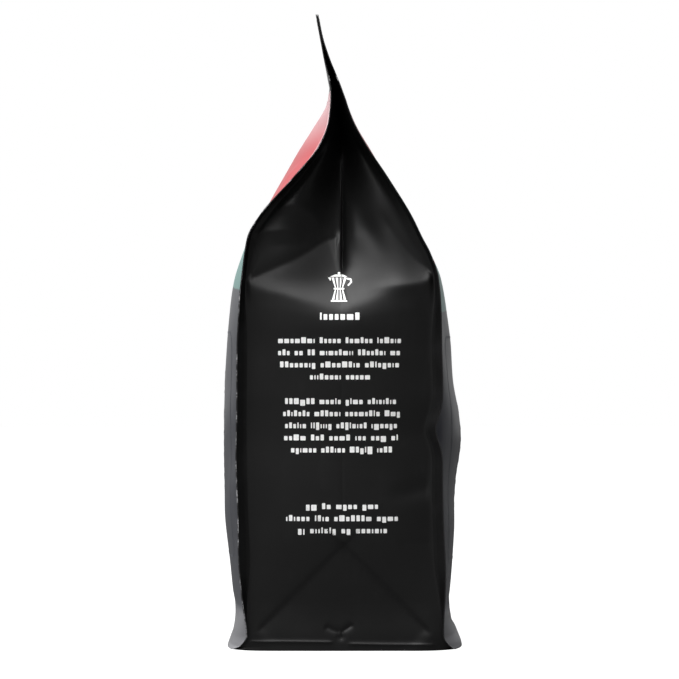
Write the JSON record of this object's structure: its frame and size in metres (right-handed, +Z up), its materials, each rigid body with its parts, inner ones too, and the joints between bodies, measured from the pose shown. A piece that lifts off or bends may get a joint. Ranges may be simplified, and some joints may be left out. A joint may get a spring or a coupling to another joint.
{
  "type": "coffee bag",
  "caption": "Filled flat-bottomed coffee bag of matt black film, standing, with side gussets folded in towards a flat sealed top that leans forward.",
  "frame": {"origin": "centre of the flat base, on the surface that the bag stands on", "axes": "+Z up; X across the front panel; -Y towards the front panel, the side that the sealed top leans to"},
  "size_m": [0.135, 0.0994, 0.255],
  "materials": {
    "bag_film": "matt black printed film with a soft sheen"
  },
  "bodies": {
    "root": {"bag": "bag_film"}
  },
  "joints": []
}
